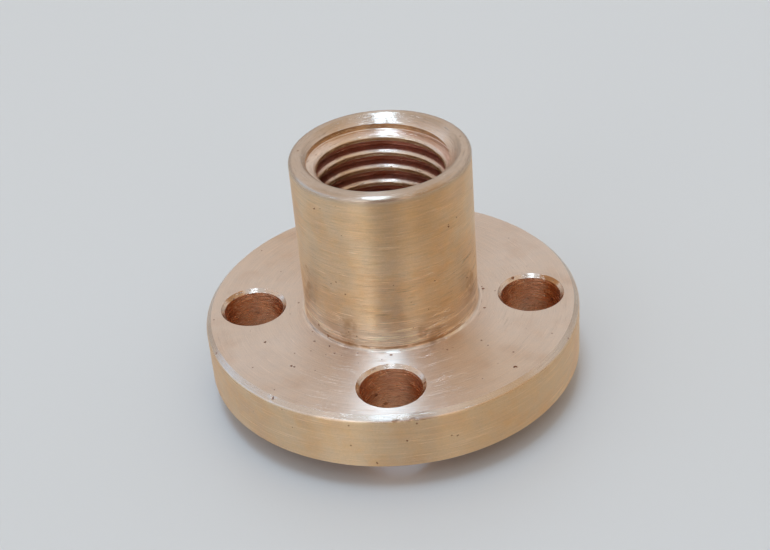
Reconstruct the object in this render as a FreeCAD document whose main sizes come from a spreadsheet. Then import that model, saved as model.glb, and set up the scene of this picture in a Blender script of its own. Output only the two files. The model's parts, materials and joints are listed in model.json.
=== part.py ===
import FreeCAD, Part
import math
import os

import Sketcher

# A flanged lead-screw nut, turned from one bronze bar.
#
# The nut stands on its short boss, with the thread's axis along +Z.  The origin
# is the centre of the short boss's end face, so from bottom to top it goes: short
# boss, round flange with four bolt holes, long boss.  The bolt holes lie on +X,
# +Y, -X and -Y.  The trapezoidal thread is right-handed and runs right through.

# Driving dimensions, in millimetres, degrees or a plain count.
SIZES = {
    "flange_diameter": 22.0,
    "flange_thickness": 3.5,
    "flange_edge_chamfer": 0.3,
    "flange_back_chamfer": 0.15,
    "boss_diameter": 10.2,
    "long_boss_length": 10.0,
    "short_boss_length": 1.5,
    "boss_rim_radius": 0.3,
    "boss_root_radius": 0.25,
    "short_boss_edge_radius": 0.2,
    "bolt_circle_diameter": 16.4,
    "bolt_hole_diameter": 3.5,
    "bolt_hole_count": 4,
    "bolt_hole_chamfer": 0.2,
    "thread_pitch": 1.0,
    "thread_minor_diameter": 7.2,
    "thread_major_diameter": 8.3,
    "thread_flank_angle": 15.0,
    "thread_root_width": 0.366,
    "thread_start_height": 0.1,
    "thread_mouth_diameter": 8.9,
    "thread_mouth_depth": 0.85,
}

# The nut's whole length, as the sheet's own sum.
TOTAL_LENGTH = "Sizes.short_boss_length + Sizes.flange_thickness + Sizes.long_boss_length"
# The bore's circle is drawn as this many equal arcs, so that each thread crest is a short face.
BORE_ARCS = 4
# How far the thread's cutting profile reaches inside the bore, clear of the crests.
CUTTER_OVERLAP = 0.2
# How near an edge's centre and radius must be to the values it is looked up by.
EDGE_MATCH = 1e-4


def make_sheet(doc):
    """The spreadsheet that drives every size, one alias a row."""
    sheet = doc.addObject("Spreadsheet::Sheet", "Sizes")
    for row, (alias, value) in enumerate(SIZES.items(), start=1):
        sheet.set(f"A{row}", alias)
        sheet.set(f"B{row}", str(value))
        sheet.setAlias(f"B{row}", alias)
    doc.recompute()
    return sheet


def new_sketch(body, name, plane_role):
    """An empty sketch on one of the body's own origin planes."""
    plane = next(f for f in body.Origin.OriginFeatures if f.Role == plane_role)
    sketch = body.newObject("Sketcher::SketchObject", name)
    sketch.AttachmentSupport = [(plane, "")]
    sketch.MapMode = "FlatFace"
    return sketch


def draw_outline(sketch, points):
    """Draw a closed outline and join its corners; a side that is level or upright is held so."""
    count = len(points)
    for i, (x, y) in enumerate(points):
        next_x, next_y = points[(i + 1) % count]
        start, end = FreeCAD.Vector(x, y, 0), FreeCAD.Vector(next_x, next_y, 0)
        sketch.addGeometry(Part.LineSegment(start, end), False)
    for i in range(count):
        sketch.addConstraint(Sketcher.Constraint("Coincident", i, 2, (i + 1) % count, 1))
    for i, (x, y) in enumerate(points):
        next_x, next_y = points[(i + 1) % count]
        if math.isclose(x, next_x):
            sketch.addConstraint(Sketcher.Constraint("Vertical", i))
        elif math.isclose(y, next_y):
            sketch.addConstraint(Sketcher.Constraint("Horizontal", i))


def hold(sketch, kind, corner, name, formula):
    """Hold one coordinate of a corner, measured from the sketch's origin, to a formula of sizes."""
    value = getattr(sketch.Geometry[corner].StartPoint, "x" if kind == "DistanceX" else "y")
    index = sketch.addConstraint(Sketcher.Constraint(kind, -1, 1, corner, 1, value))
    sketch.renameConstraint(index, name)
    sketch.setExpression(f"Constraints.{name}", formula)


def add_blank(body):
    """The turned blank: both bosses and the flange, still solid."""
    size = SIZES
    boss = size["boss_diameter"] / 2
    flange = size["flange_diameter"] / 2
    flange_bottom = size["short_boss_length"]
    flange_top = flange_bottom + size["flange_thickness"]
    top = flange_top + size["long_boss_length"]

    sketch = new_sketch(body, "BlankProfile", "XZ_Plane")
    draw_outline(sketch, [
        (0.0, 0.0), (boss, 0.0), (boss, flange_bottom), (flange, flange_bottom),
        (flange, flange_top), (boss, flange_top), (boss, top), (0.0, top),
    ])
    sketch.addConstraint(Sketcher.Constraint("Coincident", 0, 1, -1, 1))
    hold(sketch, "DistanceX", 1, "short_boss_radius", "Sizes.boss_diameter / 2")
    hold(sketch, "DistanceY", 2, "flange_bottom", "Sizes.short_boss_length")
    hold(sketch, "DistanceX", 3, "flange_radius", "Sizes.flange_diameter / 2")
    hold(sketch, "DistanceY", 4, "flange_top", "Sizes.short_boss_length + Sizes.flange_thickness")
    hold(sketch, "DistanceX", 5, "long_boss_radius", "Sizes.boss_diameter / 2")
    hold(sketch, "DistanceY", 6, "top", TOTAL_LENGTH)

    blank = body.newObject("PartDesign::Revolution", "Blank")
    blank.Profile = sketch
    blank.ReferenceAxis = (sketch, ["V_Axis"])
    blank.Angle = 360
    body.Document.recompute()
    return blank


def ring_edges(shape, radius, height):
    """Names of the full circles of one radius about the nut's axis, at one height."""
    names = []
    for index, edge in enumerate(shape.Edges, start=1):
        curve = edge.Curve
        if not isinstance(curve, Part.Circle) or not math.isclose(curve.Radius, radius, abs_tol=EDGE_MATCH):
            continue
        centred = math.hypot(curve.Center.x, curve.Center.y) < EDGE_MATCH
        if centred and math.isclose(curve.Center.z, height, abs_tol=EDGE_MATCH):
            names.append(f"Edge{index}")
    return names


def hole_rim_edges(shape, radius, circle_radius):
    """Names of the bolt holes' rims: circles of one radius, centred on the bolt circle."""
    names = []
    for index, edge in enumerate(shape.Edges, start=1):
        curve = edge.Curve
        if not isinstance(curve, Part.Circle) or not math.isclose(curve.Radius, radius, abs_tol=EDGE_MATCH):
            continue
        if math.isclose(math.hypot(curve.Center.x, curve.Center.y), circle_radius, abs_tol=EDGE_MATCH):
            names.append(f"Edge{index}")
    return names


def add_dressup(body, kind, name, edges, alias):
    """A chamfer or fillet on the tip's named edges, its size bound to one cell."""
    base = body.Tip
    feature = body.newObject(f"PartDesign::{kind}", name)
    feature.Base = (base, edges)
    feature.setExpression("Size" if kind == "Chamfer" else "Radius", f"Sizes.{alias}")
    body.Tip = feature
    body.Document.recompute()
    return feature


def add_edge_breaks(body):
    """Break the flange's and bosses' sharp edges, and round the roots where they meet."""
    size = SIZES
    boss = size["boss_diameter"] / 2
    flange = size["flange_diameter"] / 2
    flange_bottom = size["short_boss_length"]
    flange_top = flange_bottom + size["flange_thickness"]
    top = flange_top + size["long_boss_length"]

    edges = ring_edges(body.Tip.Shape, boss, top)
    add_dressup(body, "Fillet", "LongBossRim", edges, "boss_rim_radius")
    edges = ring_edges(body.Tip.Shape, boss, flange_top)
    add_dressup(body, "Fillet", "LongBossRoot", edges, "boss_root_radius")
    edges = ring_edges(body.Tip.Shape, boss, flange_bottom) + ring_edges(body.Tip.Shape, boss, 0.0)
    add_dressup(body, "Fillet", "ShortBossEdges", edges, "short_boss_edge_radius")
    edges = ring_edges(body.Tip.Shape, flange, flange_top)
    add_dressup(body, "Chamfer", "FlangeEdge", edges, "flange_edge_chamfer")
    edges = ring_edges(body.Tip.Shape, flange, flange_bottom)
    add_dressup(body, "Chamfer", "FlangeBackEdge", edges, "flange_back_chamfer")


def add_bolt_holes(body):
    """One through hole on +X, repeated around the bolt circle, with every rim chamfered."""
    hole_radius = SIZES["bolt_hole_diameter"] / 2
    circle_radius = SIZES["bolt_circle_diameter"] / 2

    sketch = new_sketch(body, "BoltHoleProfile", "XY_Plane")
    circle = Part.Circle(FreeCAD.Vector(circle_radius, 0, 0), FreeCAD.Vector(0, 0, 1), hole_radius)
    sketch.addGeometry(circle, False)
    sketch.addConstraint(Sketcher.Constraint("PointOnObject", 0, 3, -1))
    offset = sketch.addConstraint(Sketcher.Constraint("DistanceX", -1, 1, 0, 3, circle_radius))
    sketch.renameConstraint(offset, "bolt_circle_radius")
    sketch.setExpression("Constraints.bolt_circle_radius", "Sizes.bolt_circle_diameter / 2")
    radius = sketch.addConstraint(Sketcher.Constraint("Radius", 0, hole_radius))
    sketch.renameConstraint(radius, "hole_radius")
    sketch.setExpression("Constraints.hole_radius", "Sizes.bolt_hole_diameter / 2")

    hole = body.newObject("PartDesign::Pocket", "BoltHole")
    hole.Profile = sketch
    hole.Type = "ThroughAll"
    hole.Reversed = True
    body.Tip = hole
    body.Document.recompute()

    pattern = body.newObject("PartDesign::PolarPattern", "BoltHoles")
    pattern.Originals = [hole]
    pattern.Axis = (sketch, ["N_Axis"])
    pattern.Angle = 360
    pattern.setExpression("Occurrences", "Sizes.bolt_hole_count")
    body.Tip = pattern
    body.Document.recompute()

    edges = hole_rim_edges(body.Tip.Shape, hole_radius, circle_radius)
    add_dressup(body, "Chamfer", "BoltHoleRims", edges, "bolt_hole_chamfer")


def add_bore(body):
    """The bore at the thread's minor diameter, right through.  Its circle is drawn as equal arcs."""
    radius = SIZES["thread_minor_diameter"] / 2
    step = 2 * math.pi / BORE_ARCS

    sketch = new_sketch(body, "BoreProfile", "XY_Plane")
    circle = Part.Circle(FreeCAD.Vector(0, 0, 0), FreeCAD.Vector(0, 0, 1), radius)
    for i in range(BORE_ARCS):
        sketch.addGeometry(Part.ArcOfCircle(circle, i * step, (i + 1) * step), False)
    last = BORE_ARCS - 1
    for i in range(BORE_ARCS):
        sketch.addConstraint(Sketcher.Constraint("Coincident", i, 2, (i + 1) % BORE_ARCS, 1))
    for i in range(last):
        sketch.addConstraint(Sketcher.Constraint("Coincident", i, 3, -1, 1))
    # the last arc's ends are already held, so its centre needs only one more constraint
    sketch.addConstraint(Sketcher.Constraint("PointOnObject", last, 3, -2))
    for i in range(0, BORE_ARCS, 2):
        sketch.addConstraint(Sketcher.Constraint("PointOnObject", i, 1, -1))
        sketch.addConstraint(Sketcher.Constraint("PointOnObject", i + 1, 1, -2))
    index = sketch.addConstraint(Sketcher.Constraint("Radius", 0, radius))
    sketch.renameConstraint(index, "bore_radius")
    sketch.setExpression("Constraints.bore_radius", "Sizes.thread_minor_diameter / 2")

    bore = body.newObject("PartDesign::Pocket", "Bore")
    bore.Profile = sketch
    bore.Type = "ThroughAll"
    bore.Reversed = True
    bore.Refine = False
    body.Tip = bore
    body.Document.recompute()


def add_mouth(body, name, end_height, inside, end_formula, inside_formula):
    """Cone one mouth of the bore, from the thread's mouth diameter down to its minor diameter."""
    minor = SIZES["thread_minor_diameter"] / 2
    mouth = SIZES["thread_mouth_diameter"] / 2

    sketch = new_sketch(body, f"{name}Profile", "XZ_Plane")
    draw_outline(sketch, [(0.0, end_height), (mouth, end_height), (minor, inside), (0.0, inside)])
    sketch.addConstraint(Sketcher.Constraint("PointOnObject", 0, 1, -2))
    hold(sketch, "DistanceX", 1, "mouth_radius", "Sizes.thread_mouth_diameter / 2")
    hold(sketch, "DistanceX", 2, "bore_radius", "Sizes.thread_minor_diameter / 2")
    hold(sketch, "DistanceY", 2, "inside_height", inside_formula)
    if end_formula:
        hold(sketch, "DistanceY", 1, "end_height", end_formula)
    else:
        sketch.addConstraint(Sketcher.Constraint("PointOnObject", 1, 1, -1))

    cone = body.newObject("PartDesign::Groove", name)
    cone.Profile = sketch
    cone.ReferenceAxis = (sketch, ["V_Axis"])
    cone.Angle = 360
    cone.Refine = False
    body.Tip = cone
    body.Document.recompute()


def add_mouths(body):
    """Cone both mouths of the bore, to lead the screw in."""
    size = SIZES
    top = size["short_boss_length"] + size["flange_thickness"] + size["long_boss_length"]
    depth = size["thread_mouth_depth"]
    add_mouth(body, "BottomMouth", 0.0, depth, None, "Sizes.thread_mouth_depth")
    add_mouth(body, "TopMouth", top, top - depth, TOTAL_LENGTH, f"{TOTAL_LENGTH} - Sizes.thread_mouth_depth")


def add_thread(body):
    """Cut the trapezoidal thread right through, from a pitch below the nut to a pitch above it.

    On +X the middle of the groove lies the start height above each whole pitch.
    """
    size = SIZES
    major = size["thread_major_diameter"] / 2
    inner = size["thread_minor_diameter"] / 2 - CUTTER_OVERLAP
    half_root = size["thread_root_width"] / 2
    half_open = half_root + (major - inner) * math.tan(math.radians(size["thread_flank_angle"]))
    start = size["thread_start_height"] - size["thread_pitch"]

    sketch = new_sketch(body, "ThreadProfile", "XZ_Plane")
    draw_outline(sketch, [
        (inner, start - half_open), (major, start - half_root),
        (major, start + half_root), (inner, start + half_open),
    ])
    flank = "tan(Sizes.thread_flank_angle * 1deg)"
    reach = f"(Sizes.thread_major_diameter - Sizes.thread_minor_diameter) / 2 + {CUTTER_OVERLAP}"
    half_width = f"Sizes.thread_root_width / 2 + ({reach}) * {flank}"
    hold(sketch, "DistanceX", 0, "inner_radius", f"Sizes.thread_minor_diameter / 2 - {CUTTER_OVERLAP}")
    hold(sketch, "DistanceX", 1, "major_radius", "Sizes.thread_major_diameter / 2")
    below = "Sizes.thread_pitch - Sizes.thread_start_height"
    hold(sketch, "DistanceY", 0, "opening_low", f"{below} + {half_width}")
    hold(sketch, "DistanceY", 1, "root_low", f"{below} + Sizes.thread_root_width / 2")
    hold(sketch, "DistanceY", 2, "root_high", f"{below} - Sizes.thread_root_width / 2")
    hold(sketch, "DistanceY", 3, "opening_high", f"{below} - ({half_width})")

    thread = body.newObject("PartDesign::SubtractiveHelix", "Thread")
    thread.Profile = sketch
    thread.ReferenceAxis = (sketch, ["V_Axis"])
    thread.Mode = "pitch-height-angle"
    thread.Angle = 0
    thread.LeftHanded = False
    thread.Refine = False
    thread.setExpression("Pitch", "Sizes.thread_pitch")
    thread.setExpression("Height", f"{TOTAL_LENGTH} + 2 * Sizes.thread_pitch")
    body.Tip = thread
    body.Document.recompute()


def make_nut(doc):
    """The whole nut, in the order it is made: turn, break edges, drill, bore, cone the mouths, tap."""
    body = doc.addObject("PartDesign::Body", "FlangedNut")
    body.Label = "flanged_nut"
    body.Placement = FreeCAD.Placement()
    add_blank(body)
    add_edge_breaks(body)
    add_bolt_holes(body)
    add_bore(body)
    add_mouths(body)
    add_thread(body)
    return body


def check(doc, bodies):
    """Stop on any failed object or broken solid, before anything is written."""
    for obj in doc.Objects:
        if "Invalid" in obj.State or "Error" in obj.State:
            raise RuntimeError(f"{obj.Name} is {obj.State}")
    for body in bodies:
        shape = body.Shape
        if shape.isNull() or not shape.isValid() or len(shape.Solids) != 1:
            raise RuntimeError(f"{body.Label} isn't one valid solid")


def main():
    doc = FreeCAD.newDocument("FlangedNut")
    make_sheet(doc)
    bodies = [make_nut(doc)]
    check(doc, bodies)
    os.makedirs("parts", exist_ok=True)
    for body in bodies:
        body.Shape.exportStep(f"parts/{body.Label}.step")
        print(body.Label, round(body.Shape.Volume, 2), "mm3", body.Shape.BoundBox)


main()
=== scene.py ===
import json
import math

import bmesh
import bpy
import numpy as np
from mathutils import Matrix, Vector
from mathutils.geometry import delaunay_2d_cdt


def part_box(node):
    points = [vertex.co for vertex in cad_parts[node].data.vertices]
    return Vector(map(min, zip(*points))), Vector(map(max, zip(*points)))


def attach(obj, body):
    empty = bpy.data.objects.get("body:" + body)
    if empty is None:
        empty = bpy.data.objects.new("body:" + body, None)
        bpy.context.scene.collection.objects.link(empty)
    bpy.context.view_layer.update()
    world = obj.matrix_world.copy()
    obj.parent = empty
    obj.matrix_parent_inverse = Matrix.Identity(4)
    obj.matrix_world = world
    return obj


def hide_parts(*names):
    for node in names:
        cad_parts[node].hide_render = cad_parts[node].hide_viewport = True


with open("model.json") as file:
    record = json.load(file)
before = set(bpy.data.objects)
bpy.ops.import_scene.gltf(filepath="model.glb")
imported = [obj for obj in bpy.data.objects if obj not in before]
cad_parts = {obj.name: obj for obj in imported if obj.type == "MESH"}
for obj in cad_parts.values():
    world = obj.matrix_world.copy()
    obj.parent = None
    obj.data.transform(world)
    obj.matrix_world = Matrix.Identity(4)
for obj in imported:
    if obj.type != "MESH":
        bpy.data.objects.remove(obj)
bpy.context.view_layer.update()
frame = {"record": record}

# A turned bronze lead-screw nut, rebuilt as one finely detailed skin in place of its CAD
# node.  Lengths are millimetres, and the mesh is turned into metres when it is made.  Angles
# are degrees where they are listed and radians inside the functions.

MM = 0.001
FULL_TURN = 2 * math.pi

# ---- sizes from the frame --------------------------------------------------------------------

MOUNTS = {mount["name"]: mount for mount in frame["record"]["mounts"]}
BOX_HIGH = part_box("flanged_nut")[1] / MM

TOP = BOX_HIGH.z
FLANGE_RADIUS = BOX_HIGH.x
FLANGE_TOP = MOUNTS["flange_top_face"]["pos_m"][2] / MM
FLANGE_BOTTOM = MOUNTS["flange_back_face"]["pos_m"][2] / MM
BOSS_RADIUS = MOUNTS["long_boss"]["dims"]["r_mm"]
BOLT_RADIUS = MOUNTS["flange_bolts"]["dims"]["hole_r_mm"]
BOLT_CIRCLE = MOUNTS["flange_bolts"]["dims"]["pcd_mm"] / 2
BOLT_COUNT = MOUNTS["flange_bolts"]["dims"]["count"]
THREAD_MINOR = MOUNTS["lead_screw_thread"]["dims"]["r_mm"]
MOUTH_DEPTH = (TOP - MOUNTS["lead_screw_thread"]["dims"]["length_mm"]) / 2

# ---- sizes of the finish, which the record doesn't state -------------------------------------

THREAD_PITCH = 1.0
THREAD_MAJOR = 4.15
# half the height of a groove's flat bottom
THREAD_HALF_ROOT = 0.183
# the height that each flank gains for each millimetre of its depth
THREAD_FLANK = math.tan(math.radians(15))
# how high a groove's middle is on the +X side, counted from the bottom end
THREAD_START = 0.1
ROOT_ROUND = 0.03
CREST_ROUND = 0.03
# each crest's upper corner is bevelled by this much
CREST_BEVEL = 0.15
MOUTH_ROUND = 0.06
# how far off the thread's axis the long boss's mouth was countersunk, and towards which azimuth
MOUTH_LEAN = 0.14
MOUTH_LEAN_TOWARDS = 70

RIM_ROUND = 0.3
BOSS_ROOT_ROUND = 0.25
FLANGE_CHAMFER = 0.3
FLANGE_BACK_CHAMFER = 0.15
FLANGE_EDGE_ROUND = 0.06
SHORT_BOSS_ROUND = 0.2
BOLT_CHAMFER = 0.2

# how finely the skin is divided on the way round
BOSS_COLUMNS = 256
FLANGE_COLUMNS = 576
HOLE_COLUMNS = 96
# points of the skin nearer to each other than this are one; this and the shortest edge that is
# kept are in metres
WELD_GAP = 2e-7
SHORTEST_EDGE = 1e-8
# corners sharper than this stay crisp
CRISP_ANGLE = 24

# how rough each kind of surface was left
TURNED, FACED, DRILLED, CUT, BURNISHED, POLISHED = 0.34, 0.40, 0.26, 0.25, 0.22, 0.13

# small dents in the flange's edge: azimuth, how far out and how high from the middle of the
# chamfer, reach and depth
DENTS = [
    (-126.6, -0.10, 0.10, 0.26, 0.05),
    (-127.9, 0.05, -0.10, 0.30, 0.06),
    (-88.5, 0.15, -0.15, 0.16, 0.05),
    (-83.5, 0.15, -0.15, 0.18, 0.05),
]


# ---- the skin --------------------------------------------------------------------------------


class Skin:
    """Points and faces, patch by patch.  Neighbouring patches share their edge points.

    Each face keeps the upright axis that it was cut about and how rough it was left.
    """

    def __init__(self):
        self.points = []
        self.faces = []
        self.axes = []
        self.finish = []

    def point(self, x, y, z):
        self.points.append((x, y, z))
        return len(self.points) - 1

    def ring(self, radii, height, centre=(0.0, 0.0)):
        """A level loop of points.  The radii may differ from point to point."""
        return [
            self.point(centre[0] + radius * math.cos(a), centre[1] + radius * math.sin(a), height)
            for radius, a in zip(radii, turn_angles(len(radii)))
        ]

    def face(self, corners, finish, centre=(0.0, 0.0)):
        self.faces.append(corners)
        self.axes.append(centre)
        self.finish.append(finish)

    def grid(self, rows, finish, centre=(0.0, 0.0)):
        """Quads between loops of points."""
        for upper, lower in zip(rows, rows[1:]):
            count = len(upper)
            for i in range(count):
                j = (i + 1) % count
                self.face((upper[i], upper[j], lower[j], lower[i]), finish, centre)

    def turned(self, outline, columns, finish, centre=(0.0, 0.0)):
        """An outline of (radius, height) points turned about an upright axis."""
        rows = [self.ring([radius] * columns, height, centre) for radius, height in outline]
        self.grid(rows, finish, centre)


def turn_angles(count):
    return [FULL_TURN * i / count for i in range(count)]


def straight(start, end, step):
    """Points from start to end, both (radius, height), at most a step apart."""
    count = max(1, math.ceil(math.dist(start, end) / step - 1e-9))
    return [
        (start[0] + (end[0] - start[0]) * i / count, start[1] + (end[1] - start[1]) * i / count)
        for i in range(count + 1)
    ]


def arc(centre, radius, first, last, count):
    """Points on an arc about a (radius, height) centre, from one angle to another."""
    angles = [math.radians(first + (last - first) * i / count) for i in range(count + 1)]
    return [(centre[0] + radius * math.cos(a), centre[1] + radius * math.sin(a)) for a in angles]


def bolt_centres():
    return [(BOLT_CIRCLE * math.cos(a), BOLT_CIRCLE * math.sin(a)) for a in turn_angles(BOLT_COUNT)]


# ---- turned outside --------------------------------------------------------------------------

ROOT_RADIUS = BOSS_RADIUS + BOSS_ROOT_ROUND
FACE_RADIUS = FLANGE_RADIUS - FLANGE_CHAMFER
BACK_FACE_RADIUS = FLANGE_RADIUS - FLANGE_BACK_CHAMFER
BACK_ROOT_RADIUS = BOSS_RADIUS + SHORT_BOSS_ROUND
LAND_RADIUS = BOSS_RADIUS - RIM_ROUND
MOUTH_RADIUS = THREAD_MINOR + MOUTH_DEPTH


def mouth_radius(angle, leaning):
    """The radius of a boss's mouth at one angle.  The long boss's mouth leans."""
    lean = MOUTH_LEAN * math.cos(angle - math.radians(MOUTH_LEAN_TOWARDS)) if leaning else 0.0
    return MOUTH_RADIUS + lean


def add_land(skin, outer, height, leaning, steps):
    """The level ring between a boss's rim and the bore's mouth."""
    angles = turn_angles(BOSS_COLUMNS)
    inner = [mouth_radius(a, leaning) + MOUTH_ROUND for a in angles]
    rows = [
        skin.ring([start + (outer - start) * i / steps for start in inner], height)
        for i in range(steps + 1)
    ]
    skin.grid(rows, CUT)


def add_long_boss(skin):
    add_land(skin, LAND_RADIUS, TOP, leaning=True, steps=3)
    rim = arc((LAND_RADIUS, TOP - RIM_ROUND), RIM_ROUND, 90, 0, 8)
    root = arc((ROOT_RADIUS, FLANGE_TOP + BOSS_ROOT_ROUND), BOSS_ROOT_ROUND, 180, 270, 8)
    skin.turned(rim, BOSS_COLUMNS, CUT)
    skin.turned(straight(rim[-1], root[0], step=0.15), BOSS_COLUMNS, TURNED)
    skin.turned(root, BOSS_COLUMNS, TURNED)


def add_flange_edge(skin):
    """Over the chamfer, down the rim and round to the back face, its corners slightly rounded."""
    edge, back, soft = FLANGE_CHAMFER, FLANGE_BACK_CHAMFER, FLANGE_EDGE_ROUND
    chamfer_foot = (FLANGE_RADIUS - soft, FLANGE_TOP - edge + soft)
    chamfer = straight((FACE_RADIUS, FLANGE_TOP), chamfer_foot, step=0.06)
    corner = [
        chamfer_foot,
        (FLANGE_RADIUS - 0.25 * soft, FLANGE_TOP - edge - 0.1 * soft),
        (FLANGE_RADIUS, FLANGE_TOP - edge - soft),
    ]
    wall = straight(corner[-1], (FLANGE_RADIUS, FLANGE_BOTTOM + back), step=0.25)
    under = straight(wall[-1], (BACK_FACE_RADIUS, FLANGE_BOTTOM), step=0.12)
    skin.turned(chamfer, FLANGE_COLUMNS, BURNISHED)
    skin.turned(corner, FLANGE_COLUMNS, CUT)
    skin.turned(wall, FLANGE_COLUMNS, TURNED)
    skin.turned(under, FLANGE_COLUMNS, CUT)


def add_short_boss(skin):
    size = SHORT_BOSS_ROUND
    root = arc((BACK_ROOT_RADIUS, FLANGE_BOTTOM - size), size, 90, 180, 5)
    edge = arc((BOSS_RADIUS - size, size), size, 0, -90, 5)
    skin.turned(root, BOSS_COLUMNS, TURNED)
    skin.turned(straight(root[-1], edge[0], step=0.4), BOSS_COLUMNS, TURNED)
    skin.turned(edge, BOSS_COLUMNS, CUT)
    add_land(skin, BOSS_RADIUS - size, 0.0, leaning=False, steps=2)


# ---- flange faces and bolt holes -------------------------------------------------------------

HOLE_EDGE = BOLT_RADIUS + BOLT_CHAMFER
# a loop of points round each hole, and how near its axis the face's other points may come
HOLE_LOOP = HOLE_EDGE + 0.12
CLEAR_OF_HOLE = HOLE_EDGE + 0.2


def add_holed_face(skin, height, inner, outer, step):
    """A level ring with the bolt holes cut out of it, as an even triangle mesh.

    The outline's loops are joined; the loose points between them are a step apart, and each
    ring of them starts one radian on from the last.
    """
    flat, edges = [], []

    def loop(x, y, radius, count, joined):
        first = len(flat)
        for i, a in enumerate(turn_angles(count)):
            flat.append(Vector((x + radius * math.cos(a), y + radius * math.sin(a))))
            if joined:
                edges.append((first + i, first + (i + 1) % count))

    loop(0, 0, outer, FLANGE_COLUMNS, True)
    loop(0, 0, inner, BOSS_COLUMNS, True)
    for x, y in bolt_centres():
        loop(x, y, HOLE_EDGE, HOLE_COLUMNS, True)
        loop(x, y, HOLE_LOOP, HOLE_COLUMNS, False)

    rings = math.ceil((outer - inner) / step)
    for number in range(1, rings):
        radius = inner + (outer - inner) * number / rings
        for a in turn_angles(round(FULL_TURN * radius / step)):
            place = (radius * math.cos(a + number), radius * math.sin(a + number))
            if all(math.dist(place, centre) > CLEAR_OF_HOLE for centre in bolt_centres()):
                flat.append(Vector(place))

    found, _, triangles, *_ = delaunay_2d_cdt(flat, edges, [], 0, 1e-7)
    names = [skin.point(p.x, p.y, height) for p in found]
    inner_side = inner * math.cos(math.pi / BOSS_COLUMNS)
    hole_side = HOLE_EDGE * math.cos(math.pi / HOLE_COLUMNS)
    for triangle in triangles:
        middle = sum((found[i] for i in triangle), Vector((0, 0))) / 3
        outside_holes = all(math.dist(middle, centre) > hole_side for centre in bolt_centres())
        if middle.length > inner_side and outside_holes:
            skin.face(tuple(names[i] for i in triangle), FACED)


def add_bolt_holes(skin):
    """The walls of the bolt holes, with a countersunk rim at each end."""
    top, foot = FLANGE_TOP - BOLT_CHAMFER, FLANGE_BOTTOM + BOLT_CHAMFER
    upper = straight((HOLE_EDGE, FLANGE_TOP), (BOLT_RADIUS, top), step=0.1)
    lower = straight((BOLT_RADIUS, foot), (HOLE_EDGE, FLANGE_BOTTOM), step=0.2)
    wall = straight(upper[-1], lower[0], step=0.2)
    for centre in bolt_centres():
        skin.turned(upper, HOLE_COLUMNS, POLISHED, centre)
        skin.turned(wall, HOLE_COLUMNS, DRILLED, centre)
        skin.turned(lower, HOLE_COLUMNS, CUT, centre)


# ---- thread ----------------------------------------------------------------------------------


def thread_profile():
    """One groove as rising (height from its middle, radius) points.  The crest below it is bevelled."""
    flank_end = THREAD_HALF_ROOT + (THREAD_MAJOR - THREAD_MINOR) * THREAD_FLANK
    bevel_top = flank_end - CREST_BEVEL * THREAD_FLANK
    bevel_foot = bevel_top + CREST_BEVEL
    soft = CREST_ROUND
    return [
        (-bevel_foot - 0.5 * soft, THREAD_MINOR),
        (-bevel_foot + 0.5 * soft, THREAD_MINOR + 0.5 * soft),
        (-bevel_top - 0.5 * soft, THREAD_MINOR + CREST_BEVEL - 0.5 * soft),
        (-bevel_top + 0.3 * soft, THREAD_MINOR + CREST_BEVEL + soft),
        (-THREAD_HALF_ROOT, THREAD_MAJOR - ROOT_ROUND),
        (-THREAD_HALF_ROOT + ROOT_ROUND, THREAD_MAJOR),
        (THREAD_HALF_ROOT - ROOT_ROUND, THREAD_MAJOR),
        (THREAD_HALF_ROOT, THREAD_MAJOR - ROOT_ROUND),
        (flank_end - 0.3 * soft, THREAD_MINOR + soft),
        (flank_end + soft, THREAD_MINOR),
    ]


PROFILE = thread_profile()
# the thread's own points stop this far short of the nut's ends
END_MARGIN = 0.01
# how finely the places where the thread and a coned mouth cross are looked for
CROSSING_STEPS = 12


def mouth_profile(angle):
    """The coned mouths as rising (height, radius) points; between them the bore is plain."""
    low, high = mouth_radius(angle, False), mouth_radius(angle, True)
    soft = MOUTH_ROUND
    return [
        (0.0, low + soft),
        (0.3 * soft, low + 0.1 * soft),
        (soft, low - soft),
        (low - THREAD_MINOR, THREAD_MINOR),
        (TOP - (high - THREAD_MINOR), THREAD_MINOR),
        (TOP - soft, high - soft),
        (TOP - 0.3 * soft, high + 0.1 * soft),
        (TOP, high + soft),
    ]


def bore_column(angle):
    """The bore's wall at one angle, as (height, radius) points from the top down."""
    rise = THREAD_START + THREAD_PITCH * angle / FULL_TURN
    turns = range(-2, math.ceil(TOP / THREAD_PITCH) + 2)
    thread = [
        (height + rise + turn * THREAD_PITCH, radius)
        for turn in turns
        for height, radius in PROFILE
    ]
    thread_heights, thread_radii = np.array(thread).T
    mouth_heights, mouth_radii = np.array(mouth_profile(angle)).T

    def thread_radius(height):
        return np.interp(height, thread_heights, thread_radii)

    def cone_radius(height):
        return np.interp(height, mouth_heights, mouth_radii)

    def excess(height):
        """How far the thread's wall lies outside the coned mouth's."""
        return thread_radius(height) - cone_radius(height)

    inside = [h for h in thread_heights if END_MARGIN < h < TOP - END_MARGIN and excess(h) >= 0]
    knots = sorted(set(inside) | set(mouth_heights))
    crossings = []
    for low, high in zip(knots, knots[1:]):
        steps = np.linspace(low, high, CROSSING_STEPS)
        gaps = excess(steps)
        for i in range(len(steps) - 1):
            if gaps[i] * gaps[i + 1] < -1e-12:
                share = gaps[i] / (gaps[i] - gaps[i + 1])
                crossings.append(float(steps[i] + (steps[i + 1] - steps[i]) * share))
    heights = sorted(knots + crossings, reverse=True)
    return [(h, float(max(thread_radius(h), cone_radius(h)))) for h in heights]


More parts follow.
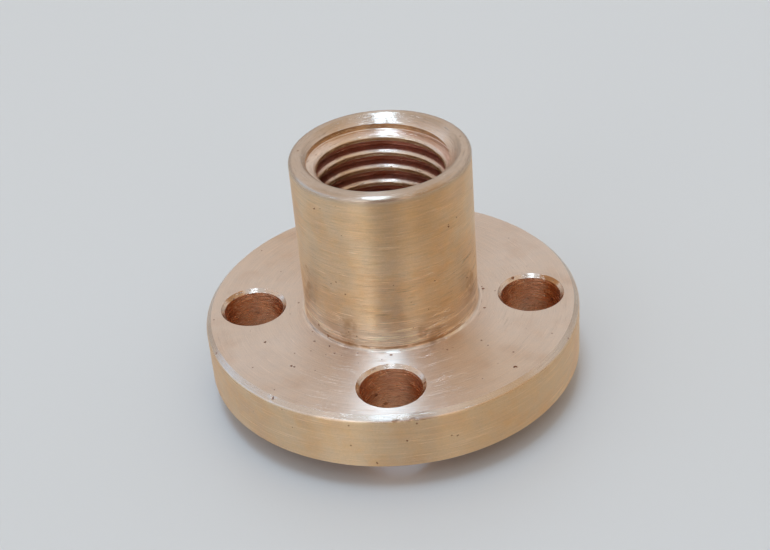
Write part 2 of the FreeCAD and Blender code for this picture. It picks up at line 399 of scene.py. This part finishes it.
def zip_columns(skin, left, right):
    """Triangles between two columns of (point, height), always stepping down the higher side."""
    i = j = 0
    while i < len(left) - 1 or j < len(right) - 1:
        down_left = j == len(right) - 1 or (i < len(left) - 1 and left[i + 1][1] >= right[j + 1][1])
        if down_left:
            skin.face((left[i][0], left[i + 1][0], right[j][0]), CUT)
            i += 1
        else:
            skin.face((left[i][0], right[j + 1][0], right[j][0]), CUT)
            j += 1


def add_bore(skin):
    """The threaded bore, column by column round the axis."""
    columns = []
    for a in turn_angles(BOSS_COLUMNS):
        columns.append([
            (skin.point(radius * math.cos(a), radius * math.sin(a), height), height)
            for height, radius in bore_column(a)
        ])
    for i in range(BOSS_COLUMNS):
        zip_columns(skin, columns[i], columns[(i + 1) % BOSS_COLUMNS])


# ---- the mesh --------------------------------------------------------------------------------


def fill_finish(mesh, skin):
    """Layers that the material reads, for each corner of each face.

    "spin" is its direction from its own axis, "station" its radius and height, and "finish"
    how rough it was left.
    """
    places = np.array(skin.points)
    corners = np.concatenate([places[list(face)] for face in skin.faces])
    sizes = [len(face) for face in skin.faces]
    arms = corners[:, :2] - np.repeat(np.array(skin.axes), sizes, axis=0)
    radii = np.linalg.norm(arms, axis=1)
    level = np.zeros(len(corners))
    spin = np.column_stack((arms / radii[:, None], level))
    station = np.column_stack((radii, corners[:, 2], level))
    for name, values in (("spin", spin), ("station", station)):
        mesh.attributes.new(name, "FLOAT_VECTOR", "CORNER").data.foreach_set("vector", values.ravel())
    finish = np.repeat(np.array(skin.finish), sizes)
    mesh.attributes.new("finish", "FLOAT", "CORNER").data.foreach_set("value", finish)


def press_dents(work):
    """Press small hollows into the flange's upper edge."""
    inner, lowest = (FACE_RADIUS - 0.6) * MM, (FLANGE_TOP - 1.0) * MM
    near_edge = [point for point in work.verts if point.co.xy.length > inner and point.co.z > lowest]
    for azimuth, outward, upward, reach, depth in DENTS:
        a = math.radians(azimuth)
        radius = FLANGE_RADIUS - FLANGE_CHAMFER / 2 + outward
        height = FLANGE_TOP - FLANGE_CHAMFER / 2 + upward
        middle = Vector((radius * math.cos(a), radius * math.sin(a), height)) * MM
        for point in near_edge:
            gap = (point.co - middle).length / (reach * MM)
            if gap < 1:
                point.co -= point.normal * depth * MM * (1 - gap * gap) ** 2


def make_nut():
    """The whole nut as one closed mesh."""
    skin = Skin()
    add_long_boss(skin)
    add_holed_face(skin, FLANGE_TOP, ROOT_RADIUS, FACE_RADIUS, step=0.35)
    add_flange_edge(skin)
    add_holed_face(skin, FLANGE_BOTTOM, BACK_ROOT_RADIUS, BACK_FACE_RADIUS, step=0.6)
    add_short_boss(skin)
    add_bolt_holes(skin)
    add_bore(skin)

    mesh = bpy.data.meshes.new("nut_skin")
    mesh.from_pydata([tuple(c * MM for c in p) for p in skin.points], [], skin.faces)
    fill_finish(mesh, skin)

    work = bmesh.new()
    work.from_mesh(mesh)
    bmesh.ops.remove_doubles(work, verts=work.verts, dist=WELD_GAP)
    bmesh.ops.dissolve_degenerate(work, edges=work.edges, dist=SHORTEST_EDGE)
    bmesh.ops.recalc_face_normals(work, faces=work.faces)
    work.normal_update()
    press_dents(work)
    work.to_mesh(mesh)
    open_edges = sum(1 for edge in work.edges if len(edge.link_faces) != 2)
    print("nut:", len(work.verts), "points", len(work.faces), "faces", open_edges, "open edges")
    work.free()

    mesh.shade_smooth()
    mesh.set_sharp_from_angle(angle=math.radians(CRISP_ANGLE))
    nut = bpy.data.objects.new("nut_skin", mesh)
    bpy.context.scene.collection.objects.link(nut)
    return nut


nut = make_nut()

# ---- shader building -------------------------------------------------------------------------


class Graph:
    """A node tree with short calls for the nodes used here.

    Their inputs may be sockets or plain values.
    """

    def __init__(self, tree):
        self.tree = tree

    def add(self, kind, inputs=(), **settings):
        node = self.tree.nodes.new(kind)
        for name, value in settings.items():
            setattr(node, name, value)
        for key, value in dict(inputs).items():
            self.feed(node.inputs[key], value)
        return node

    def feed(self, socket, value):
        if isinstance(value, bpy.types.NodeSocket):
            self.tree.links.new(value, socket)
        else:
            socket.default_value = value

    def math(self, operation, *values):
        return self.add("ShaderNodeMath", enumerate(values), operation=operation).outputs[0]

    def vector(self, operation, *values):
        node = self.add("ShaderNodeVectorMath", enumerate(values), operation=operation)
        return node.outputs["Vector"]

    def product(self, first, *others):
        for other in others:
            first = self.math("MULTIPLY", first, other)
        return first

    def plus(self, total, amount, value):
        """total + amount * value"""
        return self.math("MULTIPLY_ADD", value, amount, total)

    def step(self, value, low, high):
        """An eased step from 0 at low to 1 at high; low may be the greater."""
        inputs = {"Value": value, "From Min": low, "From Max": high}
        return self.add("ShaderNodeMapRange", inputs, interpolation_type="SMOOTHSTEP").outputs["Result"]

    def between(self, value, low, high, soft):
        """1 from low to high, fading over soft on either side of each."""
        return self.product(
            self.step(value, low - soft, low + soft),
            self.step(value, high + soft, high - soft),
        )

    def spread(self, value, low, high):
        """0..1 to low..high, held at both ends."""
        inputs = {"Value": value, "To Min": low, "To Max": high}
        return self.add("ShaderNodeMapRange", inputs).outputs["Result"]

    def mix(self, factor, first, second):
        node = self.add("ShaderNodeMix", {0: factor, 6: first, 7: second}, data_type="RGBA")
        return node.outputs[2]

    def combine(self, x, y, z):
        return self.add("ShaderNodeCombineXYZ", enumerate((x, y, z))).outputs[0]

    def split(self, vector):
        return self.add("ShaderNodeSeparateXYZ", {0: vector}).outputs

    def noise(self, vector, scale, detail, w=None):
        inputs = {"Vector": vector, "Scale": scale, "Detail": detail}
        if w is not None:
            inputs["W"] = w
        dimensions = "3D" if w is None else "4D"
        return self.add("ShaderNodeTexNoise", inputs, noise_dimensions=dimensions).outputs["Fac"]

    def shaken(self, place, scale, size):
        """Places pushed about by noise, so that marks made with them get uneven outlines."""
        inputs = {"Vector": place, "Scale": scale, "Detail": 2.0}
        push = self.add("ShaderNodeTexNoise", inputs).outputs["Color"]
        push = self.vector("SUBTRACT", push, (0.5, 0.5, 0.5))
        return self.vector("MULTIPLY_ADD", push, (size, size, size), place)

    def spots(self, place, centres, inner):
        """1 within any of the (centre, radius) spots, fading out beyond inner * radius."""
        total = 0.0
        for centre, radius in centres:
            inputs = {0: place, 1: centre}
            distance = self.add("ShaderNodeVectorMath", inputs, operation="DISTANCE").outputs["Value"]
            total = self.math("MAXIMUM", total, self.step(distance, radius, radius * inner))
        return total


# ---- material --------------------------------------------------------------------------------

# painted reflection: the level faces' paler, pinker tint stands in for the pale ceiling they reflect
FACE_REFLECTION_TINT = (0.84, 0.67, 0.55, 1)
SIDE_TINT = (0.78, 0.53, 0.31, 1)
GOLDEN_TINT = (0.79, 0.50, 0.265, 1)
# EDGE_TINT serves the worn edges, and low on the long boss a painted sheen
EDGE_TINT = (0.70, 0.56, 0.45, 1)
RIM_TINT = (0.54, 0.41, 0.31, 1)
# partly the metal's own oxide, partly painted bounce light: a redder tint inside the bolt holes
HOLE_OXIDE_AND_BOUNCE_TINT = (0.79, 0.40, 0.21, 1)
# partly the metal's own oxide, partly painted shade: a darker, redder tint deep in the bore
BORE_OXIDE_AND_SHADE_TINT = (0.57, 0.28, 0.20, 1)
AGED_TINT = (0.66, 0.43, 0.29, 1)
# painted shade: a darker, browner tint high up right of the front on the long boss
UPPER_RIGHT_SHADE_TINT = (0.62, 0.38, 0.19, 1)
STAIN_TINT = (0.46, 0.21, 0.08, 1)
PIT_TINT = (0.28, 0.10, 0.04, 1)

# cutting marks: how fine they are across the cut and how often they change on the way round
FINE_MARKS = (11.0, 3.5)
COARSE_MARKS = (2.2, 1.6)
SCRATCH_MARKS = (15.0, 4.0)

# the dark line where the long boss meets the flange: its height above the flange
SEAM_HEIGHT = 0.24


def on_boss(azimuth, height):
    a = math.radians(azimuth)
    return (BOSS_RADIUS * math.cos(a), BOSS_RADIUS * math.sin(a), FLANGE_TOP + height)


def on_rim(azimuth, height):
    a = math.radians(azimuth)
    return (FLANGE_RADIUS * math.cos(a), FLANGE_RADIUS * math.sin(a), height)


# small pits and brown stains: where, and their radius
PITS = [
    (on_boss(-45, 7.1), 0.08), (on_boss(-58, 4.1), 0.07), (on_boss(-29, 2.9), 0.08),
    (on_boss(-134, 8.75), 0.07), (on_boss(-115, 7.55), 0.05), (on_boss(-127, 4.1), 0.06),
    (on_rim(-86, 3.35), 0.07), (on_rim(-95, 1.9), 0.06), (on_rim(-71.5, 3.1), 0.06),
    ((-7.25, -3.6, FLANGE_TOP), 0.09), ((-5.6, -6.0, FLANGE_TOP), 0.12),
    ((-5.4, -6.1, FLANGE_TOP), 0.08), ((-4.2, -6.5, FLANGE_TOP), 0.06),
    ((-4.4, -3.8, FLANGE_TOP), 0.07), ((-3.5, -4.3, FLANGE_TOP), 0.07),
    ((5.1, -4.5, FLANGE_TOP), 0.07), ((6.8, -7.1, FLANGE_TOP), 0.10),
    ((6.9, -7.15, FLANGE_TOP), 0.08), ((6.3, 0.0, FLANGE_TOP), 0.07),
    ((6.1, 0.3, FLANGE_TOP), 0.06), ((6.4, -0.4, FLANGE_TOP), 0.05),
    ((-6.5, -8.65, FLANGE_TOP - 0.1), 0.13),
]
STAINS = [
    (on_boss(-150, 3.9), 0.55), (on_boss(-150, 3.0), 0.65), (on_boss(-151, 2.1), 0.65),
    (on_boss(-24, 2.6), 0.7), (on_boss(-23, 1.8), 0.6),
    (on_boss(-62, 0.4), 0.9), (on_boss(-68, 0.9), 0.6),
    (on_boss(-118, 0.6), 0.9), (on_boss(-116, 1.6), 0.7),
    ((3.0, -5.1, FLANGE_TOP), 0.25), ((3.3, -5.0, FLANGE_TOP), 0.15),
]


class Bronze(Graph):
    """The nut's metal.  Every mask is 0 to 1, and lengths are millimetres."""

    def __init__(self, tree):
        super().__init__(tree)
        spin = self.add("ShaderNodeAttribute", attribute_name="spin").outputs["Vector"]
        station = self.add("ShaderNodeAttribute", attribute_name="station").outputs["Vector"]
        self.finish = self.add("ShaderNodeAttribute", attribute_name="finish").outputs["Fac"]
        self.right, self.away, _ = self.split(spin)
        self.radius, self.height, _ = self.split(station)
        self.normal = self.add("ShaderNodeNewGeometry").outputs["Normal"]
        self.facing_up = self.math("ABSOLUTE", self.split(self.normal)[2])
        metres = self.add("ShaderNodeTexCoord").outputs["Object"]
        self.place = self.vector("MULTIPLY", metres, (1 / MM, 1 / MM, 1 / MM))

        self.cloud = self.noise(self.place, 0.45, 3.0)
        self.blotch = self.noise(self.place, 1.6, 4.0)
        self.grain = self.noise(self.place, 14.0, 2.0)
        self.find_surfaces()
        self.find_handling()
        self.find_cutting_marks()
        self.find_blemishes()

    def find_surfaces(self):
        """Which surface each place is on.  In a bolt hole, the radius is from the hole's own axis."""
        self.in_hole = self.step(self.radius, HOLE_EDGE + 0.3, HOLE_EDGE)
        self.drilled = self.step(self.radius, BOLT_RADIUS + 0.06, BOLT_RADIUS + 0.02)
        self.in_bore = self.product(
            self.step(self.height, TOP - 0.6, TOP - 1.6),
            self.step(self.radius, THREAD_MAJOR + 0.25, THREAD_MAJOR + 0.15),
            self.step(self.radius, THREAD_MINOR + 0.06, THREAD_MINOR + 0.2),
            self.math("SUBTRACT", 1.0, self.in_hole),
        )
        self.outside_bore = self.step(self.radius, BOSS_RADIUS - 0.2, BOSS_RADIUS - 0.1)
        self.near_top = self.product(
            self.step(self.height, TOP - 0.6, TOP - 0.1),
            self.step(self.radius, THREAD_MINOR - 0.6, THREAD_MINOR + 0.4),
        )
        self.under_flange = self.step(self.height, FLANGE_BOTTOM + 0.02, FLANGE_BOTTOM)

    def find_handling(self):
        """Where edges are worn, where the long boss is rubbed low down (with a painted sheen there) or
        handled, and where it carries painted shade high up on the right.
        """
        burnished = self.step(self.finish, CUT - 0.005, BURNISHED + 0.005)
        self.worn = self.product(burnished, self.spread(self.in_hole, 1.0, 0.85))
        # low on the long boss: real rubbing marks, and a painted sheen over them
        self.rubbed_and_sheen = self.product(
            self.step(self.height, FLANGE_TOP + 2.6, FLANGE_TOP + 0.6),
            self.outside_bore,
            self.step(self.radius, BOSS_RADIUS + 0.2, BOSS_RADIUS + 0.1),
        )
        self.handled = self.product(
            self.step(self.height, FLANGE_TOP + 7.0, FLANGE_TOP + 3.0),
            self.step(self.radius, BOSS_RADIUS + 0.5, BOSS_RADIUS + 0.2),
        )
        # painted shade: high up, right of the front, where the boss reflects the shaded floor
        self.upper_right_shade = self.product(
            self.step(self.right, -0.35, 0.05),
            self.step(self.right, 0.75, 0.45),
            self.step(self.away, 0.0, -0.3),
            self.step(self.height, FLANGE_TOP + 4.5, FLANGE_TOP + 8.0),
            self.outside_bore,
        )

    def turning_marks(self, per_mm, around):
        """Noise drawn out round each surface's own axis: fine across the cut, long along it."""
        place = self.combine(
            self.product(self.radius, per_mm),
            self.product(self.height, per_mm),
            self.product(self.right, around),
        )
        return self.noise(place, 1.0, 3.0, w=self.product(self.away, around))

    def find_cutting_marks(self):
        """Streaks, scratches and grooves.  Streaks are faint on the faces and deep in drilled holes."""
        self.fine = self.turning_marks(*FINE_MARKS)
        self.coarse = self.turning_marks(*COARSE_MARKS)
        lines = self.turning_marks(*SCRATCH_MARKS)
        # real scratches in the relief; their lightened colour in colour() is a painted glint
        self.scratch_and_glint = self.product(
            self.step(self.plus(lines, 0.13, self.rubbed_and_sheen), 0.58, 0.66),
            self.step(self.coarse, 0.40, 0.60),
            self.spread(self.rubbed_and_sheen, 1.0, 2.6),
            self.spread(self.facing_up, 1.0, 0.6),
        )
        self.groove = self.product(
            self.step(lines, 0.40, 0.32),
            self.step(self.coarse, 0.60, 0.45),
            self.spread(self.handled, 0.45, 1.6),
        )
        near_rim = self.step(self.radius, FLANGE_RADIUS - 0.5, FLANGE_RADIUS - 0.1)
        polished = self.step(self.finish, BURNISHED - 0.02, POLISHED + 0.02)
        depth = self.plus(self.spread(self.facing_up, 1.0, 0.5), 1.2, self.drilled)
        depth = self.plus(depth, -0.5, near_rim)
        depth = self.plus(depth, -0.8, polished)
        self.streak = self.product(self.math("SUBTRACT", self.fine, 0.5), depth)

    def find_blemishes(self):
        """Pits, stains, specks and the dark line at the long boss's root."""
        self.pit = self.spots(self.shaken(self.place, 5.0, 0.2), PITS, 0.5)
        self.stain = self.spots(self.shaken(self.place, 1.8, 1.6), STAINS, 0.1)

        # specks are thicker near the long boss's root
        root = BOSS_RADIUS + FLANGE_TOP
        near_root = self.step(self.math("ADD", self.radius, self.height), root + 1.6, root)
        cell = self.add("ShaderNodeTexVoronoi", {"Vector": self.place, "Scale": 2.2})
        size = self.spread(self.split(cell.outputs["Color"])[0], -0.50, 0.16)
        size = self.plus(size, 0.12, near_root)
        self.speck = self.step(self.math("SUBTRACT", cell.outputs["Distance"], size), 0.0, -0.04)

        gap = self.math("ABSOLUTE", self.math("SUBTRACT", self.height, FLANGE_TOP + SEAM_HEIGHT))
        self.seam = self.product(
            self.step(gap, 0.14, 0.03),
            self.step(self.radius, BOSS_RADIUS + 0.3, BOSS_RADIUS + 0.15),
            self.outside_bore,
            self.step(self.blotch, 0.25, 0.5),
            self.step(self.away, -0.5, -0.9),
        )

    def colour(self):
        """The metal's tint: first by surface, with painted reflection and shade mixed in, then by wear,
        and the blemishes over it all.
        """
        tint = self.mix(self.step(self.cloud, 0.42, 0.62), SIDE_TINT, GOLDEN_TINT)
        # painted reflection: faces that look up or down take the paler, pinker tint of the ceiling they
        # reflect
        tint = self.mix(self.step(self.facing_up, 0.2, 0.8), tint, FACE_REFLECTION_TINT)
        # partly the metal's own oxide, partly painted bounce light: the bolt holes are redder inside
        tint = self.mix(self.in_hole, tint, HOLE_OXIDE_AND_BOUNCE_TINT)
        # partly the metal's own oxide, partly painted shade: the bore is darker and redder deep down
        tint = self.mix(self.in_bore, tint, BORE_OXIDE_AND_SHADE_TINT)
        tint = self.mix(self.under_flange, tint, AGED_TINT)
        tint = self.mix(self.worn, tint, EDGE_TINT)
        aged = self.product(self.step(self.cloud, 0.5, 0.8), 0.4)
        tint = self.mix(aged, tint, AGED_TINT)
        # painted shade: browner and darker high up, right of the front
        tint = self.mix(self.product(self.upper_right_shade, 0.65), tint, UPPER_RIGHT_SHADE_TINT)
        darkened = self.product(self.near_top, self.spread(self.blotch, 0.55, 1.0))
        tint = self.mix(darkened, tint, RIM_TINT)
        # painted sheen: the long boss is paler low down, standing in for the bright flange face that it
        # reflects
        tint = self.mix(self.product(self.rubbed_and_sheen, 0.45), tint, EDGE_TINT)

        shade = self.spread(self.blotch, -0.06, 0.06)
        shade = self.math("ADD", shade, self.spread(self.grain, -0.12, 0.12))
        shade = self.plus(shade, 0.45, self.streak)
        # painted glint: scratches are lightened, most of all low on the long boss, standing in for the
        # light they catch
        shade = self.plus(shade, 0.22, self.scratch_and_glint)
        shade = self.plus(shade, -0.22, self.groove)
        tint = self.add("ShaderNodeHueSaturation", {
            "Color": tint,
            "Value": self.math("ADD", shade, 1.0),
            "Saturation": self.spread(self.blotch, 0.9, 1.1),
        }).outputs[0]

        tint = self.mix(self.product(self.stain, 0.5), tint, STAIN_TINT)
        tint = self.mix(self.product(self.speck, 0.8), tint, PIT_TINT)
        tint = self.mix(self.pit, tint, PIT_TINT)
        return self.mix(self.product(self.seam, 0.75), tint, STAIN_TINT)

    def roughness(self):
        """How rough the tool left each surface, varied a little along its marks."""
        rough = self.math("ADD", self.finish, self.spread(self.coarse, -0.04, 0.04))
        rough = self.math("ADD", rough, self.spread(self.fine, -0.05, 0.05))
        return self.plus(rough, 0.15, self.math("ADD", self.stain, self.pit))

    def bumped_normal(self):
        """The relief of the marks, in thousandths of a millimetre."""
        relief = self.product(self.streak, 30.0)
        relief = self.plus(relief, 5.0, self.coarse)
        relief = self.plus(relief, 16.0, self.scratch_and_glint)
        relief = self.plus(relief, -14.0, self.groove)
        relief = self.plus(relief, -25.0, self.pit)
        relief = self.plus(relief, -8.0, self.speck)
        inputs = {"Height": relief, "Strength": 1.0, "Distance": 0.001 * MM}
        return self.add("ShaderNodeBump", inputs).outputs[0]

    def across_cut(self):
        """The direction along the surface that crosses the cutting marks."""
        around = self.combine(self.product(self.away, -1.0), self.right, 0.0)
        return self.vector("CROSS_PRODUCT", self.normal, around)


def make_bronze():
    material = bpy.data.materials.new("turned_bronze")
    material.use_nodes = True
    bronze = Bronze(material.node_tree)
    shader = material.node_tree.nodes["Principled BSDF"]
    bronze.feed(shader.inputs["Base Color"], bronze.colour())
    bronze.feed(shader.inputs["Metallic"], 1.0)
    bronze.feed(shader.inputs["Roughness"], bronze.roughness())
    bronze.feed(shader.inputs["Normal"], bronze.bumped_normal())
    bronze.feed(shader.inputs["Anisotropic"], 1.0)
    bronze.feed(shader.inputs["Tangent"], bronze.across_cut())
    return material


nut.data.materials.append(make_bronze())
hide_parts("flanged_nut")
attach(nut, "root")

# ---- floor, light and camera -----------------------------------------------------------------

CAMERA_AZIMUTH = 3.2
CAMERA_ELEVATION = 33.8
CAMERA_ROLL = -4.9
CAMERA_DISTANCE = 87.4
LENS_FOR_36_MM = 69.2
# how far the picture's centre lies right of and above the middle of the flange's upper face
AIM_RIGHT = -0.39
AIM_UP = 1.43

# how bright the room's walls are near the floor and overhead
LOW_LIGHT, HIGH_LIGHT = 0.37, 0.80
# the heights between which they brighten, in degrees above the floor
BRIGHTER_FROM, BRIGHTER_TO = -5, 32
# no part of the room is darker than this
DARKEST = (0.08, 0.04, 0.03)
# the plain wall that the camera sees beyond the floor
BACKDROP = (0.70, 0.71, 0.73, 1)
FLOOR_COLOUR = (0.67, 0.625, 0.575, 1)
FLOOR_ROUGHNESS = 0.4
# half the floor's side, in metres
FLOOR_REACH = 1.5
# parts of the walls that are lighter or darker: left and right edge in degrees from the
# camera's side of the nut (right is positive), low and high edge above the floor, softness,
# and the light added
WALLS = [
    ("left wall", -122, -52, -5, 20, 8, (0.22, 0.52, 0.98)),
    ("window left of the camera", -48, -20, 4, 33, 5, (0.84, 1.02, 1.26)),
    ("dark gap behind the camera", -17, 17, -10, 46, 4, (-0.45, -0.57, -0.65)),
    ("bright doorway", 20, 34, -5, 32, 4, (0.27, 0.20, 0.10)),
    ("warm wall on the right", 38, 85, -15, 46, 8, (-0.10, -0.22, -0.37)),
]
# lights over the nut: left, right, back and front edge as slopes away from straight up (right
# and towards the camera are positive), softness, and the light added
CEILING = [
    ("window over the camera", -0.70, 0.34, 0.20, 0.90, 0.08, (-0.10, 0.00, 0.12)),
    ("overhead", -0.20, 0.04, -0.12, 0.28, 0.03, (5.3, 8.6, 12.4)),
    ("dark beam on the left", -0.95, -0.30, -0.75, 0.10, 0.08, (-0.16, -0.22, -0.28)),
    ("dark beam on the right", 0.22, 1.00, -0.75, 0.10, 0.08, (-0.12, -0.21, -0.32)),
    ("skylight in front", -0.26, 0.06, 0.52, 0.84, 0.04, (1.3, 2.0, 2.8)),
]


def make_floor():
    mesh = bpy.data.meshes.new("floor")
    half = FLOOR_REACH
    corners = [(-half, -half, 0), (half, -half, 0), (half, half, 0), (-half, half, 0)]
    mesh.from_pydata(corners, [], [(0, 1, 2, 3)])
    floor = bpy.data.objects.new("floor", mesh)
    bpy.context.scene.collection.objects.link(floor)
    material = bpy.data.materials.new("pale_floor")
    material.use_nodes = True
    shader = material.node_tree.nodes["Principled BSDF"]
    shader.inputs["Base Color"].default_value = FLOOR_COLOUR
    shader.inputs["Roughness"].default_value = FLOOR_ROUGHNESS
    mesh.materials.append(material)


def make_world():
    """A pale room with its windows and dark parts, as a function of the direction looked in."""
    world = bpy.data.worlds.new("studio")
    bpy.context.scene.world = world
    world.use_nodes = True
    graph = Graph(world.node_tree)
    direction = graph.add("ShaderNodeTexCoord").outputs["Generated"]
    turned = graph.add(
        "ShaderNodeVectorRotate",
        {"Vector": direction, "Angle": -math.radians(CAMERA_AZIMUTH)},
        rotation_type="Z_AXIS",
    ).outputs[0]
    right, away, up = graph.split(turned)
    near = graph.product(away, -1.0)
    side = graph.math("DEGREES", graph.math("ARCTAN2", right, near))
    height = graph.math("DEGREES", graph.math("ARCSINE", up))

    masks = []
    for _, left_edge, right_edge, low, high, soft, added in WALLS:
        across = graph.between(side, left_edge, right_edge, soft)
        upright = graph.between(height, low, high, soft)
        masks.append((graph.product(across, upright), added))
    raised = graph.math("MAXIMUM", up, 0.01)
    side_slope = graph.math("DIVIDE", right, raised)
    near_slope = graph.math("DIVIDE", near, raised)
    for _, left_edge, right_edge, back_edge, front_edge, soft, added in CEILING:
        across = graph.between(side_slope, left_edge, right_edge, soft)
        along = graph.between(near_slope, back_edge, front_edge, soft)
        masks.append((graph.product(across, along), added))

    room = graph.spread(graph.step(height, BRIGHTER_FROM, BRIGHTER_TO), LOW_LIGHT, HIGH_LIGHT)
    light = graph.combine(room, room, room)
    for mask, added in masks:
        light = graph.vector("MULTIPLY_ADD", added, graph.combine(mask, mask, mask), light)
    light = graph.vector("MAXIMUM", light, DARKEST)
    seen_directly = graph.add("ShaderNodeLightPath").outputs["Is Camera Ray"]
    light = graph.mix(seen_directly, light, BACKDROP)
    graph.feed(world.node_tree.nodes["Background"].inputs["Color"], light)


def make_camera():
    azimuth, elevation = math.radians(CAMERA_AZIMUTH), math.radians(CAMERA_ELEVATION)
    back = Vector((
        math.sin(azimuth) * math.cos(elevation),
        -math.cos(azimuth) * math.cos(elevation),
        math.sin(elevation),
    ))
    right = Vector((math.cos(azimuth), math.sin(azimuth), 0))
    up = back.cross(right)
    roll = math.radians(CAMERA_ROLL)
    right, up = (
        right * math.cos(roll) + up * math.sin(roll),
        up * math.cos(roll) - right * math.sin(roll),
    )

    camera = bpy.data.objects.new("camera", bpy.data.cameras.new("camera"))
    camera.data.sensor_width = 36
    camera.data.lens = LENS_FOR_36_MM
    camera.data.clip_start, camera.data.clip_end = 0.005, 20
    place = Vector((0, 0, FLANGE_TOP)) + back * CAMERA_DISTANCE + right * AIM_RIGHT + up * AIM_UP
    facing = Matrix((right, up, back)).transposed().to_4x4()
    camera.matrix_world = Matrix.Translation(place * MM) @ facing
    bpy.context.scene.collection.objects.link(camera)
    bpy.context.scene.camera = camera


make_floor()
make_world()
make_camera()
bpy.context.scene.view_settings.view_transform = "Standard"
